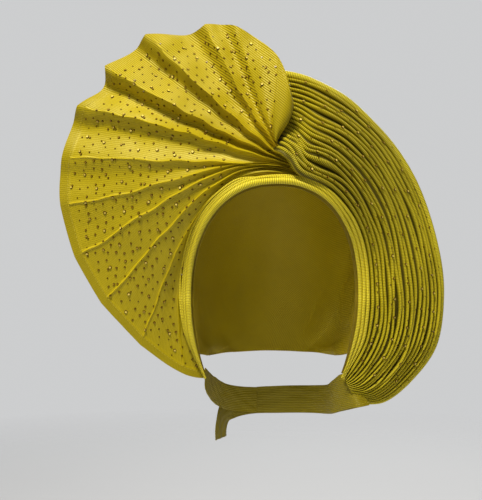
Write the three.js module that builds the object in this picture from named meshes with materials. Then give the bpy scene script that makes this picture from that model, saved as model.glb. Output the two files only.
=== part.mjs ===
// A tied gele head tie: a pleated fan and a pleated wing gathered above the brow, a folded band round
// the face, a plain crown over the head and two plain ties that fasten behind the neck.
// Millimetres. +X is the wearer's left, -Y the way the face looks, +Z up.
// The origin is the middle of the head hollow, at the level of the eyes.
import * as THREE from "three";

// Driving dimensions
const WALL = 2; // cloth wall, measured along the way a fold stands
const GAP = 0.5; // clearance between neighbouring pieces
const FOLD_ROUNDNESS = 0.7; // lower is rounder
const CROWN_SKULL = { halfBreadth: 78, halfLength: 98, height: 120, depthBelow: 200 };

// The face edge is an arch: widest level with the sides, above them a rounded square, below an ellipse.
const FACE = {
  halfWidth: 76,
  sideZ: -12.5,
  browZ: 89,
  drop: 133,
  squareness: 2.25,
  sideY: -12,
  browY: -72,
  jawSine: 0.574,
  jawBack: 26,
  jawCurve: 1.2,
  browCurve: 1.5,
};

// The face band, with its width at the wearer's right temple, brow and left temple
const BAND = { folds: 3, foldHeight: 2.2, valley: 0.4, back: 1.2, fromDeg: -34, toDeg: 214 };
const BAND_WIDTH = { right: 7, brow: 7.5, left: 11 };
const BAND_END_TAPER = { startDeg: 22, width: 0.35 };

// The crown starts behind the band and ends in a line across the nape.
const CROWN = { fromDeg: -20, toDeg: 200, napeZ: -70, napeFromDeg: 35, napeToDeg: 145 };

// Sections of the wing, from the gather to the tie. deg and lift place the inner edge on the face arch and
// forward moves it towards the viewer. rim is the outer edge, bulge bows the middle of a section towards
// the viewer, and sidestep carries the start of a section past the roll of the fan.
const WING = { folds: 18, foldHeight: 3.2, endFoldHeight: 1.4, innerGap: 0.9 };
const WING_SIDESTEP_PEAK = 0.2; // share of the section
const WING_FLATTENS_FROM = 0.82; // share of the wing's length
const WING_SECTIONS = [
  { deg: 91, lift: 21, forward: 14, rim: [-12, -32, 196], bulge: -12, sidestep: 8 },
  { deg: 85.5, lift: 13, forward: 11, rim: [24, -30, 190], bulge: -8, sidestep: 2 },
  { deg: 78, lift: 0.5, forward: 8, rim: [51, -24, 180], bulge: 0, sidestep: 0 },
  { deg: 59, lift: 0.8, forward: 1, rim: [78, -12, 163], bulge: 6, sidestep: 0 },
  { deg: 38, lift: 0, forward: 0, rim: [110, 4, 134], bulge: 8, sidestep: 0 },
  { deg: 21, lift: 0, forward: 0, rim: [138, 18, 92], bulge: 9, sidestep: 0 },
  { deg: 4, lift: 0, forward: 0, rim: [156, 30, 47], bulge: 10, sidestep: 0 },
  { deg: -8, lift: 0, forward: 0, rim: [167, 42, -6], bulge: 10, sidestep: 0 },
  { deg: -19, lift: 0, forward: 0, rim: [161, 44, -56], bulge: 9, sidestep: 0 },
  { deg: -27, lift: 0, forward: 0, rim: [136, 38, -92], bulge: 6, sidestep: 0 },
  { deg: -31, lift: 0, forward: 0, rim: [108, 33, -113], bulge: 4, sidestep: 0 },
  { deg: -34, lift: 0, forward: 0, rim: [80, 26, -114], bulge: 2, sidestep: 0 },
];

// Folds of the fan, from the roll over the gather round to the tip beside the jaw. A fold leaves the gather
// towards leave, swings past swing and ends at edge; crest is its height there.
const FAN = { gatherCrest: 1.4, crestGrowth: 0.55, scallop: 0.5, marginFold: 11.5, marginGap: 1.1 };
const FAN_GATHER = { top: [8, -76, 115], lowDeg: 74, tipDeg: 214 };
const FAN_FOLDS = [
  { leave: [-16, -74, 122], swing: [20, -84, 138], edge: [13, -78, 163], crest: 3 },
  { leave: [-14, -78, 122], swing: [2, -82, 158], edge: [0, -66, 200], crest: 6 },
  { leave: [-8, -84, 122], swing: [-20, -74, 175], edge: [-34, -54, 227], crest: 9 },
  { leave: [-10, -83, 122], swing: [-38, -68, 180], edge: [-63, -46, 231], crest: 12 },
  { leave: [-12, -82, 118], swing: [-66, -64, 172], edge: [-114, -44, 223], crest: 12 },
  { leave: [-12, -81, 114], swing: [-92, -62, 158], edge: [-151, -42, 195], crest: 11 },
  { leave: [-16, -80, 112], swing: [-108, -58, 146], edge: [-176, -38, 160], crest: 10 },
  { leave: [-20, -79, 108], swing: [-112, -54, 110], edge: [-190, -34, 116], crest: 7 },
  { leave: [-36, -80, 116], swing: [-100, -48, 80], edge: [-192, -30, 73], crest: 5 },
  { leave: [-44, -81, 114], swing: [-96, -40, 72], edge: [-180, -24, 26], crest: 4 },
  { leave: [-50, -82, 116], swing: [-92, -28, 50], edge: [-157, -16, -16], crest: 3 },
  { leave: [-56, -83, 118], swing: [-92, -12, 30], edge: [-123, -8, -54], crest: 3 },
  { leave: [-70, -84, 125], swing: [-101, 5, 14], edge: [-88, 2, -82], crest: 2 },
  { leave: [-72, -86, 126], swing: [-114, 12, 2], edge: [-67, 10, -91], crest: 1.5 },
];

// The ties run round the neck. turn is the angle about the neck axis, from the wearer's left by the back,
// roll turns the width from upright to level, and flare leans the lower edge out.
const NECK_AXIS_Y = 45;
const WING_TIE_SECTIONS = [
  { turn: -19.5, radius: 76, midZ: -100.5, width: 31, roll: 0, flare: 15 },
  { turn: -11, radius: 63, midZ: -107, width: 30, roll: 0, flare: 7 },
  { turn: 5, radius: 56, midZ: -113, width: 29, roll: 0, flare: 2 },
  { turn: 42, radius: 54.5, midZ: -118, width: 28, roll: 0, flare: 0 },
  { turn: 80, radius: 54.5, midZ: -121, width: 28, roll: 0, flare: 0 },
  { turn: 112, radius: 55, midZ: -122, width: 27, roll: 0, flare: 0 },
  { turn: 134, radius: 55, midZ: -125, width: 26, roll: 18, flare: 0 },
  { turn: 148, radius: 55, midZ: -131, width: 25, roll: 50, flare: 0 },
  { turn: 154, radius: 55.5, midZ: -141, width: 24, roll: 80, flare: 0 },
  { turn: 155, radius: 56, midZ: -155, width: 24, roll: 90, flare: 0 },
];
const FAN_TIE_SECTIONS = [
  { turn: 205, radius: 71, midZ: -88, width: 20, roll: 0, flare: 0 },
  { turn: 194, radius: 62, midZ: -97, width: 24, roll: 0, flare: 0 },
  { turn: 174, radius: 54.5, midZ: -106, width: 26, roll: 0, flare: 0 },
  { turn: 150, radius: 52.5, midZ: -114, width: 26, roll: 0, flare: 0 },
  { turn: 126, radius: 52.5, midZ: -119, width: 26, roll: 0, flare: 0 },
  { turn: 106, radius: 52.5, midZ: -121, width: 26, roll: 0, flare: 0 },
];
const TIE_WALL = 1.6;

// Steps of each mesh
const STEPS = { band: 34, crownAcross: 26, crownBack: 12, wing: 22, fan: 12, tie: 3 };

const CLOTH = { color: 0xcdb41c, roughness: 0.55, metalness: 0 };

const vec = (x, y, z) => new THREE.Vector3(x, y, z);
const mix = THREE.MathUtils.lerp;
const radians = THREE.MathUtils.degToRad;

// A smooth curve through b and c, with a and d the values before and after them
function smooth([a, b, c, d], t) {
  const square = t * t;
  const cube = square * t;
  const near = (2 * cube - 3 * square + 1) * b + ((cube - 2 * square + t) * (c - a)) / 2;
  return near + (3 * square - 2 * cube) * c + ((cube - square) * (d - b)) / 2;
}

// A row of a table at a fractional index, each column on a smooth curve through the rows
function rowAt(rows, index) {
  const last = rows.length - 1;
  const i = Math.min(Math.floor(index), last - 1);
  const near = [-1, 0, 1, 2].map((k) => rows[Math.min(Math.max(i + k, 0), last)]);
  const made = {};
  for (const [column, value] of Object.entries(rows[0])) {
    const columns = near.map((row) => row[column]);
    made[column] = Array.isArray(value)
      ? vec(...value.map((_, axis) => smooth(columns.map((point) => point[axis]), index - i)))
      : smooth(columns, index - i);
  }
  return made;
}

// A closed wall between two grids of points of the same size, front[i][j] and back[i][j].
function wall(front, back) {
  const rows = front.length;
  const columns = front[0].length;
  const side = rows * columns;
  const positions = [...front.flat(), ...back.flat()].flatMap((p) => [p.x, p.y, p.z]);
  const at = (i, j, layer) => layer * side + i * columns + j;
  const index = [];
  const quad = (a, b, c, d) => index.push(a, b, c, a, c, d);
  for (let i = 0; i < rows - 1; i++) {
    for (let j = 0; j < columns - 1; j++) {
      quad(at(i, j, 0), at(i + 1, j, 0), at(i + 1, j + 1, 0), at(i, j + 1, 0));
      quad(at(i, j, 1), at(i, j + 1, 1), at(i + 1, j + 1, 1), at(i + 1, j, 1));
    }
    quad(at(i, 0, 0), at(i, 0, 1), at(i + 1, 0, 1), at(i + 1, 0, 0));
    const end = columns - 1;
    quad(at(i, end, 0), at(i + 1, end, 0), at(i + 1, end, 1), at(i, end, 1));
  }
  for (let j = 0; j < columns - 1; j++) {
    quad(at(0, j, 0), at(0, j + 1, 0), at(0, j + 1, 1), at(0, j, 1));
    const end = rows - 1;
    quad(at(end, j, 0), at(end, j, 1), at(end, j + 1, 1), at(end, j + 1, 0));
  }
  const geometry = new THREE.BufferGeometry();
  geometry.setAttribute("position", new THREE.Float32BufferAttribute(positions, 3));
  geometry.setIndex(signedVolume(positions, index) < 0 ? index.reverse() : index);
  geometry.computeVertexNormals();
  return geometry;
}

function signedVolume(positions, index) {
  const point = (k) => vec(...positions.slice(3 * k, 3 * k + 3));
  let volume = 0;
  for (let k = 0; k < index.length; k += 3) {
    const [a, b, c] = [point(index[k]), point(index[k + 1]), point(index[k + 2])];
    volume += a.dot(b.cross(c)) / 6;
  }
  return volume;
}

const grid = (rows, columns, point) =>
  Array.from({ length: rows }, (_, i) => Array.from({ length: columns }, (_, j) => point(i, j)));

// The face edge at an angle: 0 at the wearer's left temple, 90 at the brow, 180 at the right temple.
function faceEdge(deg) {
  const cosine = Math.cos(radians(deg));
  const sine = Math.sin(radians(deg));
  if (sine < 0) {
    const back = FACE.jawBack * Math.pow(-sine / FACE.jawSine, FACE.jawCurve);
    return vec(FACE.halfWidth * cosine, FACE.sideY + back, FACE.sideZ + FACE.drop * sine);
  }
  const power = 2 / FACE.squareness;
  const x = FACE.halfWidth * Math.sign(cosine) * Math.pow(Math.abs(cosine), power);
  const z = FACE.sideZ + (FACE.browZ - FACE.sideZ) * Math.pow(sine, power);
  return vec(x, mix(FACE.sideY, FACE.browY, Math.pow(sine, FACE.browCurve)), z);
}

// The way out from the face edge, square to it as seen from the front
function faceOutward(deg) {
  const along = faceEdge(deg + 1).sub(faceEdge(deg - 1));
  return vec(along.z, 0, -along.x).normalize();
}

function bandWidth(deg) {
  const side = Math.cos(radians(deg)) > 0 ? BAND_WIDTH.left : BAND_WIDTH.right;
  const full = mix(BAND_WIDTH.brow, side, Math.abs(Math.cos(radians(deg))));
  const fromEnd = Math.min(deg - BAND.fromDeg, BAND.toDeg - deg);
  const grown = THREE.MathUtils.smoothstep(fromEnd, 0, BAND_END_TAPER.startDeg);
  return full * mix(BAND_END_TAPER.width, 1, grown);
}

// Height of a row of rounded folds: 0 in each valley and 1 on each crest
const foldWave = (across, folds) => Math.pow(Math.abs(Math.sin(Math.PI * folds * across)), FOLD_ROUNDNESS);

function faceBand() {
  const perFold = 3;
  const columns = BAND.folds * perFold + 1;
  const degAt = (i) => mix(BAND.fromDeg, BAND.toDeg, i / STEPS.band);
  const place = (i, j, y) => {
    const across = j / (columns - 1);
    const deg = degAt(i);
    const p = faceEdge(deg).addScaledVector(faceOutward(deg), across * bandWidth(deg));
    p.y += y(across);
    return p;
  };
  const front = grid(STEPS.band + 1, columns, (i, j) =>
    place(i, j, (across) => -BAND.valley - BAND.foldHeight * foldWave(across, BAND.folds)),
  );
  const back = grid(STEPS.band + 1, columns, (i, j) => place(i, j, () => BAND.back));
  return wall(front, back);
}

// The skull that the crown lies on, in a direction from the origin
function onSkull(direction) {
  const height = direction.z > 0 ? CROWN_SKULL.height : CROWN_SKULL.depthBelow;
  return direction.clone().multiply(vec(CROWN_SKULL.halfBreadth, CROWN_SKULL.halfLength, height));
}

function skullDirection(p) {
  const height = p.z > 0 ? CROWN_SKULL.height : CROWN_SKULL.depthBelow;
  return p.clone().divide(vec(CROWN_SKULL.halfBreadth, CROWN_SKULL.halfLength, height)).normalize();
}

// The part of the way from one direction to another, along the shortest arc
function turnBetween(from, to, share) {
  const angle = from.angleTo(to);
  const made = from.clone().multiplyScalar(Math.sin((1 - share) * angle) / Math.sin(angle));
  return made.addScaledVector(to, Math.sin(share * angle) / Math.sin(angle));
}

function crown() {
  const point = (i, j, depth) => {
    const across = j / STEPS.crownAcross;
    const share = i / STEPS.crownBack;
    const start = faceEdge(mix(CROWN.fromDeg, CROWN.toDeg, across)).add(vec(0, BAND.back + 2 * GAP, 0));
    const turn = radians(mix(CROWN.napeFromDeg, CROWN.napeToDeg, across));
    const sink = CROWN.napeZ / CROWN_SKULL.depthBelow;
    const level = Math.sqrt(1 - sink * sink);
    const end = vec(level * Math.cos(turn), level * Math.sin(turn), sink);
    const first = skullDirection(start);
    const direction = turnBetween(first, end, share);
    const fade = Math.pow(1 - share, 2);
    const outer = onSkull(direction).addScaledVector(start.clone().sub(onSkull(first)), fade);
    return outer.addScaledVector(direction, -depth);
  };
  const rows = STEPS.crownBack + 1;
  const columns = STEPS.crownAcross + 1;
  return wall(
    grid(rows, columns, (i, j) => point(i, j, 0)),
    grid(rows, columns, (i, j) => point(i, j, WALL)),
  );
}

// 0 at both ends and 1 at an early peak
function earlyBump(share, peak) {
  const power = 1 / peak - 1;
  return (share * Math.pow(1 - share, power)) / (peak * Math.pow(1 - peak, power));
}

// A point of the wing's base: along from the gather to the tie, across from the face to the rim
function wingBase(along, across) {
  const row = rowAt(WING_SECTIONS, along * (WING_SECTIONS.length - 1));
  const inner = faceEdge(row.deg);
  inner.addScaledVector(faceOutward(row.deg), bandWidth(row.deg) + WING.innerGap + row.lift);
  inner.y -= row.forward;
  const middle = inner.clone().lerp(row.rim, 0.5);
  middle.y -= 2 * row.bulge;
  const p = new THREE.QuadraticBezierCurve3(inner, middle, row.rim).getPoint(across);
  p.x += row.sidestep * earlyBump(across, WING_SIDESTEP_PEAK);
  return p;
}

// The way the wing's folds stand: square to its base, towards the viewer
function wingFacing(along, across) {
  const step = 0.01;
  const a = wingBase(Math.min(along + step, 1), across).sub(wingBase(Math.max(along - step, 0), across));
  const b = wingBase(along, Math.min(across + step, 1)).sub(wingBase(along, Math.max(across - step, 0)));
  const facing = a.cross(b).normalize();
  return facing.y > 0 ? facing.negate() : facing;
}

function wing() {
  const perFold = 3;
  const columns = WING.folds * perFold + 1;
  const point = (i, j, depth) => {
    const along = i / STEPS.wing;
    const across = j / (columns - 1);
    const endShare = THREE.MathUtils.smoothstep(along, WING_FLATTENS_FROM, 1);
    const height = mix(WING.foldHeight, WING.endFoldHeight, endShare) * foldWave(across, WING.folds);
    return wingBase(along, across).addScaledVector(wingFacing(along, across), height - depth);
  };
  const rows = STEPS.wing + 1;
  return wall(
    grid(rows, columns, (i, j) => point(i, j, 0)),
    grid(rows, columns, (i, j) => point(i, j, WALL)),
  );
}

// The margin of the fan, along the outer edge of the band
function fanMargin(out) {
  const deg = mix(FAN_GATHER.lowDeg, FAN_GATHER.tipDeg, out);
  const p = faceEdge(deg).addScaledVector(faceOutward(deg), bandWidth(deg) + FAN.marginGap);
  p.y += BAND.back - WALL;
  return p;
}

// A point of the fan's base: fold counts along the table, out runs from the gather to the edge
function fanBase(fold, out) {
  const row = rowAt(FAN_FOLDS, fold);
  const gather = vec(...FAN_GATHER.top).lerp(fanMargin(0), fold / (FAN_FOLDS.length - 1));
  const path = new THREE.CubicBezierCurve3(gather, row.leave, row.swing, row.edge).getPoint(out);
  const nearMargin = THREE.MathUtils.smoothstep(fold, FAN.marginFold, FAN_FOLDS.length - 1);
  return path.lerp(fanMargin(out), nearMargin);
}

function fan() {
  const perFold = 4;
  const columns = (FAN_FOLDS.length - 1) * perFold + 1;
  const point = (i, j, depth) => {
    const fold = j / perFold;
    const out = i / STEPS.fan;
    const crest = mix(FAN.gatherCrest, rowAt(FAN_FOLDS, fold).crest, Math.pow(out, FAN.crestGrowth));
    const valley = 0.5 - 0.5 * Math.cos(2 * Math.PI * fold);
    const p = fanBase(fold, out);
    const inward = fanBase(fold, Math.max(out - 0.02, 0)).sub(p).normalize();
    p.addScaledVector(inward, FAN.scallop * crest * valley * Math.max(2 * out - 1, 0));
    p.y += crest * valley + depth;
    return p;
  };
  const rows = STEPS.fan + 1;
  return wall(
    grid(rows, columns, (i, j) => point(i, j, 0)),
    grid(rows, columns, (i, j) => point(i, j, WALL)),
  );
}

// A flat tie lofted through its sections
function tie(sections) {
  const across = 2;
  const rows = (sections.length - 1) * STEPS.tie + 1;
  const point = (i, j, depth) => {
    const row = rowAt(sections, i / STEPS.tie);
    const turn = radians(row.turn);
    const roll = radians(row.roll);
    const outward = vec(Math.cos(turn), Math.sin(turn), 0);
    const level = vec(-Math.sin(turn), Math.cos(turn), 0);
    const upright = vec(0, 0, 1).multiplyScalar(row.width).addScaledVector(outward, -row.flare);
    const span = upright.multiplyScalar(Math.cos(roll)).addScaledVector(level, row.width * Math.sin(roll));
    const middle = vec(0, NECK_AXIS_Y, row.midZ).addScaledVector(outward, row.radius - depth);
    return middle.addScaledVector(span, j / across - 0.5);
  };
  return wall(
    grid(rows, across + 1, (i, j) => point(i, j, -TIE_WALL / 2)),
    grid(rows, across + 1, (i, j) => point(i, j, TIE_WALL / 2)),
  );
}

function piece(name, geometry) {
  const mesh = new THREE.Mesh(geometry, new THREE.MeshStandardMaterial(CLOTH));
  mesh.name = name;
  return mesh;
}

const gele = new THREE.Group();
gele.name = "gele";
gele.add(
  piece("face_band", faceBand()),
  piece("crown", crown()),
  piece("wing", wing()),
  piece("fan", fan()),
  piece("wing_tie", tie(WING_TIE_SECTIONS)),
  piece("fan_tie", tie(FAN_TIE_SECTIONS)),
);

export default gele;
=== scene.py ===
"""Looks of a tied gele head tie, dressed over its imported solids.

The tables and shape functions are in millimetres and are scaled to metres where a mesh is made.
+X is the wearer's left, -Y the way the face looks, +Z up. The origin is the middle of the head hollow.
"""

import math

import bpy
import numpy as np
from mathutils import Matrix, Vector


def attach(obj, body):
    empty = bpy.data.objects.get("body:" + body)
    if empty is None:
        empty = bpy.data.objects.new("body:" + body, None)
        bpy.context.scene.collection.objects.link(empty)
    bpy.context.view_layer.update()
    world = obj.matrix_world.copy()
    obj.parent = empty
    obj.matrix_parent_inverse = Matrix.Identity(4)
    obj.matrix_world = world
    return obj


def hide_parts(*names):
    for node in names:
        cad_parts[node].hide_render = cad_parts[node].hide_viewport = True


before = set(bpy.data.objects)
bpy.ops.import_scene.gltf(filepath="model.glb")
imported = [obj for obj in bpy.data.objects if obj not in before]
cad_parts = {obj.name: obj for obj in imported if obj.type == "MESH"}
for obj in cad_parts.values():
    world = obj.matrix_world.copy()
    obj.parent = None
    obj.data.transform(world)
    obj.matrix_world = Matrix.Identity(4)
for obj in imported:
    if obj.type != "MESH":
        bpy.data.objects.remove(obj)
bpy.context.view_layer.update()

MM = 0.001

# Shapes shared with the solids
FACE_HALF_WIDTH, FACE_SIDE_Z, FACE_BROW_Z, FACE_DROP, FACE_SQUARENESS = 76, -12.5, 89, 133, 2.25
FACE_SIDE_Y, FACE_BROW_Y, JAW_SINE, JAW_BACK, JAW_CURVE, BROW_CURVE = -12, -72, 0.574, 26, 1.2, 1.5
BAND_FROM, BAND_TO, BAND_BACK = -34, 214, 1.2
BAND_RIGHT, BAND_BROW, BAND_LEFT = 7, 7.5, 11
BAND_TAPER_DEG, BAND_TAPER = 22, 0.35
SKULL_ABOVE = np.array([78.0, 98.0, 120.0])
SKULL_BELOW = np.array([78.0, 98.0, 200.0])
CROWN_FROM, CROWN_TO, NAPE_Z, NAPE_FROM, NAPE_TO = -20, 200, -70, 35, 145

# deg, lift, forward, rim x, rim y, rim z, bulge, sidestep
WING_SECTIONS = np.array([
    (91, 21, 14, -12, -32, 196, -12, 8),
    (85.5, 13, 11, 24, -30, 190, -8, 2),
    (78, 0.5, 8, 51, -24, 180, 0, 0),
    (59, 0.8, 1, 78, -12, 163, 6, 0),
    (38, 0, 0, 110, 4, 134, 8, 0),
    (21, 0, 0, 138, 18, 92, 9, 0),
    (4, 0, 0, 156, 30, 47, 10, 0),
    (-8, 0, 0, 167, 42, -6, 10, 0),
    (-19, 0, 0, 161, 44, -56, 9, 0),
    (-27, 0, 0, 136, 38, -92, 6, 0),
    (-31, 0, 0, 108, 33, -113, 4, 0),
    (-34, 0, 0, 80, 26, -114, 2, 0),
], float)
WING_FOLDS = 18
WING_SIDESTEP_PEAK = 0.2
WING_INNER_GAP = 0.4
WING_TAIL, WING_TAIL_WAY = -0.055, np.array([380.0, -70.0, 60.0])

# leave x y z, swing x y z, edge x y z
FAN_FOLDS = np.array([
    (-16, -74, 122, 20, -84, 138, 13, -78, 163),
    (-14, -78, 122, 2, -82, 158, 0, -66, 200),
    (-8, -84, 122, -20, -74, 175, -34, -54, 227),
    (-10, -83, 122, -38, -68, 180, -63, -46, 231),
    (-12, -82, 118, -66, -64, 172, -114, -44, 223),
    (-12, -81, 114, -92, -62, 158, -151, -42, 195),
    (-16, -80, 112, -108, -58, 146, -176, -38, 160),
    (-20, -79, 108, -112, -54, 110, -190, -34, 116),
    (-36, -80, 124, -100, -48, 80, -192, -30, 73),
    (-44, -81, 125, -96, -40, 72, -180, -24, 26),
    (-50, -82, 127, -92, -28, 50, -157, -16, -16),
    (-56, -83, 129, -92, -12, 30, -123, -8, -54),
    (-70, -84, 135, -101, 5, 14, -88, 2, -82),
    (-72, -86, 126, -114, 12, 2, -67, 10, -91),
], float)
FAN_LAST = len(FAN_FOLDS) - 1
FAN_TOP = np.array([8.0, -76.0, 115.0])
FAN_LOW_DEG, FAN_TIP_DEG = 74, 214
FAN_MARGIN_FOLD = 11.5
FAN_GATHER_DEPTH = 2.8  # of the small folds beside the gather
FAN_ROLL_CURL = 8  # how far the free edge of the roll turns back
# For each panel between two folds: how far the edge dips, how deep the panel lies at the edge, where its
# lowest line is, how rounded its folds are at the edge, and how high its fold lines are pinched
FAN_PANELS = np.array([
    (0, 0, 0.5, 1, 0),
    (0, 3, 0.5, 1, 0.3),
    (0, 7, 0.45, 1, 0.5),
    (7, 14, 0.36, 1, 0.4),
    (5, 15, 0.34, 1, 0.4),
    (10, 15, 0.33, 1, 0.4),
    (1, 9, 0.35, 1, 0.6),
    (0, 3.5, 0.4, 1, 0.8),
    (0.5, 1.6, 0.5, 0.5, 1.2),
    (1, 0.8, 0.5, 0, 1.3),
    (1, 0.6, 0.5, 0, 1.3),
    (1, 0.5, 0.5, 0, 1.2),
    (0, 0.5, 0.5, 0, 0.9),
], float)
FAN_TUCK = -2.0  # the margin lies this far outside the band, so it is tucked under it

NECK_AXIS_Y = 45
# turn, radius, middle z, width, roll, flare
WING_TIE = np.array([
    (-15, 86, -99, 30, 0, 16),
    (-19.5, 76, -100.5, 31, 0, 15),
    (-11, 63, -107, 30, 0, 7),
    (5, 56, -113, 29, 0, 2),
    (42, 54.5, -118, 28, 0, 0),
    (80, 54.5, -121, 28, 0, 0),
    (112, 55, -122, 27, 0, 0),
    (134, 55, -125, 26, 18, 0),
    (148, 55, -131, 25, 50, 0),
    (154, 55.5, -141, 24, 80, 0),
    (155, 56, -155, 24, 90, 0),
], float)
FAN_TIE = np.array([
    (205, 71, -88, 20, 0, 0),
    (194, 62, -97, 24, 0, 0),
    (174, 54.5, -106, 26, 0, 0),
    (150, 52.5, -114, 26, 0, 0),
    (126, 52.5, -119, 26, 0, 0),
    (106, 52.5, -121, 26, 0, 0),
], float)

# Cloth
FAN_WALL, WING_WALL, CROWN_WALL, TIE_THICK = 1.0, 1.2, 1.2, 1.0
CORD_PITCH = 1.75  # between the raised cords of the weave
FOLD_CORD_PITCH = 1.5  # the same cords, drawn closer round the small folds
HEM_WIDTH, HEM_RISE = 8.5, 0.45
SHARP_DEG = 62  # a wall's faces that meet at more than this keep a crisp edge


def mix(a, b, share):
    return a + (b - a) * share


def smoothstep(value, low, high):
    share = np.clip((value - low) / (high - low), 0, 1)
    return share * share * (3 - 2 * share)


def unit(v):
    return v / np.maximum(np.linalg.norm(v, axis=-1, keepdims=True), 1e-9)


def to_viewer(facing):
    return np.where(facing[..., 1:2] > 0, -facing, facing)


def rows_at(table, index):
    """Rows of a table at fractional indices, each column on a smooth curve through the rows."""
    index = np.asarray(index, float)
    last = len(table) - 1
    i = np.clip(np.floor(index).astype(int), 0, last - 1)
    t = (index - i)[..., None]
    a, b, c, d = (table[np.clip(i + k, 0, last)] for k in (-1, 0, 1, 2))
    square, cube = t * t, t * t * t
    near = (2 * cube - 3 * square + 1) * b + (cube - 2 * square + t) * (c - a) / 2
    return near + (3 * square - 2 * cube) * c + (cube - square) * (d - b) / 2


def wander(seed, count, low, high, *coordinates):
    """Smooth unevenness between about -1 and 1, as a sum of slow waves over the coordinates."""
    draw = np.random.default_rng(seed)
    total = 0
    for _ in range(count):
        rates = draw.uniform(low, high, len(coordinates)) * draw.choice([-1, 1], len(coordinates))
        phase = draw.uniform(0, 2 * math.pi)
        total = total + np.sin(sum(r * c for r, c in zip(rates, coordinates)) + phase)
    return total / count * 1.4


# The face edge, the band and the crown

def face_edge(deg):
    """0 at the wearer's left temple, 90 at the brow, 180 at the right temple."""
    deg = np.asarray(deg, float)
    cosine, sine = np.cos(np.radians(deg)), np.sin(np.radians(deg))
    power = 2 / FACE_SQUARENESS
    up = np.maximum(sine, 0)
    x = FACE_HALF_WIDTH * np.sign(cosine) * np.abs(cosine) ** power
    y = mix(FACE_SIDE_Y, FACE_BROW_Y, up ** BROW_CURVE)
    z = FACE_SIDE_Z + (FACE_BROW_Z - FACE_SIDE_Z) * up ** power
    down = np.maximum(-sine, 0)
    low_y = FACE_SIDE_Y + JAW_BACK * (down / JAW_SINE) ** JAW_CURVE
    x = np.where(sine < 0, FACE_HALF_WIDTH * cosine, x)
    y = np.where(sine < 0, low_y, y)
    z = np.where(sine < 0, FACE_SIDE_Z + FACE_DROP * sine, z)
    return np.stack([x, y, z], -1)


def face_outward(deg):
    along = face_edge(np.asarray(deg) + 1) - face_edge(np.asarray(deg) - 1)
    return unit(np.stack([along[..., 2], np.zeros_like(along[..., 0]), -along[..., 0]], -1))


def band_width(deg):
    cosine = np.cos(np.radians(deg))
    side = np.where(cosine > 0, BAND_LEFT, BAND_RIGHT)
    full = mix(BAND_BROW, side, np.abs(cosine))
    from_end = np.minimum(deg - BAND_FROM, BAND_TO - deg)
    return full * mix(BAND_TAPER, 1, smoothstep(from_end, 0, BAND_TAPER_DEG))


def by_edge(deg, out, back):
    """A point out from the face edge, in shares of the band's width, and back from the viewer."""
    p = face_edge(deg) + face_outward(deg) * (out * band_width(deg))[..., None]
    p[..., 1] += back
    return p


def skull_axes(way):
    return np.where(way[..., 2:] > 0, SKULL_ABOVE, SKULL_BELOW)


def crown_point(across, share, depth):
    start = face_edge(mix(CROWN_FROM, CROWN_TO, across)) + np.array([0, BAND_BACK + 1.0, 0])
    turn = np.radians(mix(NAPE_FROM, NAPE_TO, across))
    sink = NAPE_Z / SKULL_BELOW[2]
    level = math.sqrt(1 - sink * sink)
    end = np.stack([level * np.cos(turn), level * np.sin(turn), np.full_like(turn, sink)], -1)
    first = unit(start / skull_axes(start))
    angle = np.arccos(np.clip((first * end).sum(-1), -1, 1))[..., None]
    s = share[..., None]
    way = (np.sin((1 - s) * angle) * first + np.sin(s * angle) * end) / np.sin(angle)
    skull = way * skull_axes(way)
    return skull + (start - first * skull_axes(first)) * (1 - s) ** 2 - way * np.asarray(depth)[..., None]


# The wing

def early_bump(share, peak):
    power = 1 / peak - 1
    return share * (1 - share) ** power / (peak * (1 - peak) ** power)


def wing_base(along, across):
    """Along from the gather to the tie, across from the face to the rim. Before its start the wing runs on
    straight behind the fan."""
    row = rows_at(WING_SECTIONS, np.maximum(along, 0) * (len(WING_SECTIONS) - 1))
    deg = row[..., 0]
    inner = face_edge(deg) + face_outward(deg) * (band_width(deg) + WING_INNER_GAP + row[..., 1])[..., None]
    inner[..., 1] -= row[..., 2]
    rim = row[..., 3:6]
    middle = (inner + rim) / 2
    middle[..., 1] -= 2 * row[..., 6]
    a = across[..., None]
    p = (1 - a) ** 2 * inner + 2 * a * (1 - a) * middle + a ** 2 * rim
    p[..., 0] += row[..., 7] * early_bump(np.clip(across, 0, 1), WING_SIDESTEP_PEAK)
    return p + np.minimum(along, 0)[..., None] * WING_TAIL_WAY


def wing_facing(along, across):
    step = 0.01
    along = np.maximum(along, 0)
    a = wing_base(np.minimum(along + step, 1), across) - wing_base(np.maximum(along - step, 0), across)
    b = wing_base(along, np.minimum(across + step, 1)) - wing_base(along, np.maximum(across - step, 0))
    return to_viewer(unit(np.cross(a, b)))


# The fan

def fan_margin(out):
    deg = mix(FAN_LOW_DEG, FAN_TIP_DEG, np.asarray(out, float))
    p = face_edge(deg) + face_outward(deg) * (band_width(deg) + FAN_TUCK)[..., None]
    p[..., 1] += BAND_BACK + 0.4
    return p


def fan_base(fold, out):
    """Fold counts along the table, out runs from the gather to the edge."""
    row = rows_at(FAN_FOLDS, fold)
    gather = mix(FAN_TOP, fan_margin(0.0), (fold / FAN_LAST)[..., None])
    o = out[..., None]
    near = (1 - o) ** 3 * gather + 3 * (1 - o) ** 2 * o * row[..., 0:3]
    path = near + 3 * (1 - o) * o ** 2 * row[..., 3:6] + o ** 3 * row[..., 6:9]
    return mix(path, fan_margin(out), smoothstep(fold, FAN_MARGIN_FOLD, FAN_LAST)[..., None])


# Meshes

def store(mesh, label, values, kind="FLOAT", field="value"):
    made = mesh.attributes.new(label, kind, "POINT")
    made.data.foreach_set(field, np.asarray(values, np.float32).ravel())


def linked(name, data):
    """An object in the scene, at the origin."""
    thing = bpy.data.objects.new(name, data)
    bpy.context.scene.collection.objects.link(thing)
    return thing


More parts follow.
